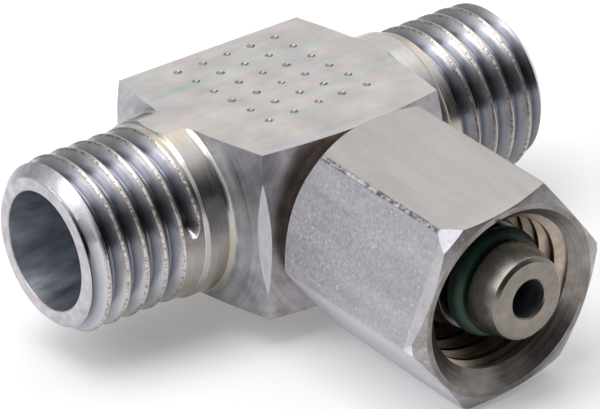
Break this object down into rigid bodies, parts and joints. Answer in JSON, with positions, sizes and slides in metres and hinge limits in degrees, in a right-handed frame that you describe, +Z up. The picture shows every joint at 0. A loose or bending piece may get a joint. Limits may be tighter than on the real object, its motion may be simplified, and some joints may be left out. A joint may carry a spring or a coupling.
{
  "type": "adjustable tee fitting",
  "caption": "Steel branch tee for small hydraulic tube: threaded studs in line on a punch-marked block, with a cone nipple, O-ring and loose swivel nut on the branch.",
  "frame": {"origin": "crossing of the run axis and the branch axis, in the middle of the run bore", "axes": "+X along the run bore towards one stud, -Y along the branch towards the swivel nut, +Z up out of the punch-marked flat"},
  "size_m": [0.038, 0.0332, 0.0156],
  "materials": {
    "tee_steel": "clear-passivated zinc on turned and milled steel",
    "ring_rubber": "satin green rubber",
    "wire_steel": "drawn spring wire",
    "nut_steel": "clear-passivated zinc on drawn and blasted hexagon steel"
  },
  "bodies": {
    "tee": {"tee_body": "tee_steel", "o_ring": "ring_rubber"},
    "wire": {"retaining_wire": "wire_steel"},
    "nut": {"swivel_nut": "nut_steel"}
  },
  "joints": [
    {"name": "nut_slide", "type": "slide", "parent": "tee", "child": "wire", "axis": [0, -1, 0], "range_m": [0, 0.002]},
    {"name": "nut_swivel", "type": "hinge", "parent": "wire", "child": "nut", "pos_m": [0, -0.01213, 0], "axis": [0, -0.9974, -0.0724], "continuous": true}
  ]
}
